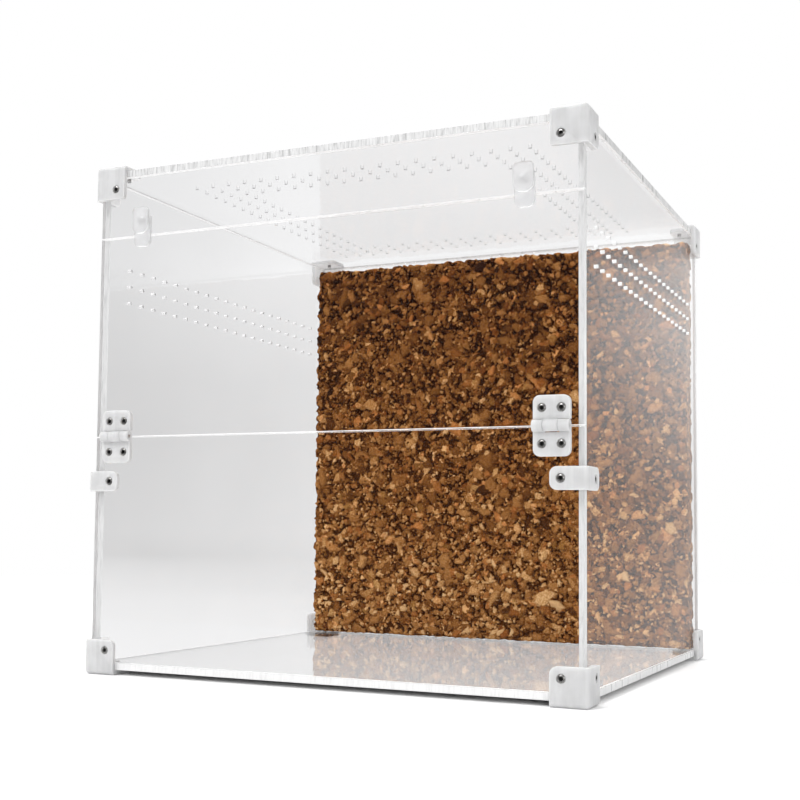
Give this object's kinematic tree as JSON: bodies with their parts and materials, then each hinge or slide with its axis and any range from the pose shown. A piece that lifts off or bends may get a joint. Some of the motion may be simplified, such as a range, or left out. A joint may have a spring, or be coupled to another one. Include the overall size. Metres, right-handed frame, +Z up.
{
  "type": "insect terrarium",
  "caption": "Clear cube terrarium on white corner brackets, with a flap door in its upper front, rows of vent holes and a granulated cork back.",
  "frame": {"origin": "on the surface it stands on, under the middle of its footprint", "axes": "+Z up, +Y towards the cork back, +X to the right as the door is faced"},
  "size_m": [0.306, 0.3096, 0.306],
  "materials": {
    "clear_acrylic": "clear, polished faces, sawn edges",
    "clear_plastic": "clear moulded plastic, slightly hazy",
    "white_plastic": "satin moulded plastic",
    "cork": "rough granulated cork",
    "screw_steel": "dark plated steel",
    "pin_steel": "bright drawn wire",
    "magnet_metal": "nickel plated",
    "striker_steel": "plated steel"
  },
  "bodies": {
    "box": {"back_panel": "clear_acrylic", "bottom_panel": "clear_acrylic", "catch_striker_left": "striker_steel", "catch_striker_right": "striker_steel", "cork_background": "cork", "corner_bracket_back_bottom_left": "white_plastic", "corner_bracket_back_bottom_right": "white_plastic", "corner_bracket_back_top_left": "white_plastic", "corner_bracket_back_top_right": "white_plastic", "corner_bracket_front_bottom_left": "white_plastic", "corner_bracket_front_bottom_right": "white_plastic", "corner_bracket_front_top_left": "white_plastic", "corner_bracket_front_top_right": "white_plastic", "corner_bracket_screws_bottom": "screw_steel", "corner_bracket_screws_top": "screw_steel", "front_lower_panel": "clear_acrylic", "front_top_strip": "clear_acrylic", "hinge_lower_leaf_left": "white_plastic", "hinge_lower_leaf_right": "white_plastic", "hinge_lower_leaf_screws": "screw_steel", "hinge_pin_left": "pin_steel", "hinge_pin_right": "pin_steel", "left_side_panel": "clear_acrylic", "right_side_panel": "clear_acrylic", "side_brace_left": "white_plastic", "side_brace_right": "white_plastic", "side_brace_screws": "screw_steel", "top_panel": "clear_acrylic"},
    "door": {"catch_boss_left": "clear_plastic", "catch_boss_right": "clear_plastic", "catch_magnet_left": "magnet_metal", "catch_magnet_right": "magnet_metal", "catch_tab_left": "clear_plastic", "catch_tab_right": "clear_plastic", "door_panel": "clear_acrylic", "hinge_door_leaf_left": "white_plastic", "hinge_door_leaf_right": "white_plastic", "hinge_door_leaf_screws": "screw_steel"}
  },
  "joints": [
    {"name": "door_hinge", "type": "hinge", "parent": "box", "child": "door", "pos_m": [0, -0.1517, 0.141], "axis": [1, 0, 0], "range_deg": [0, 180]}
  ]
}
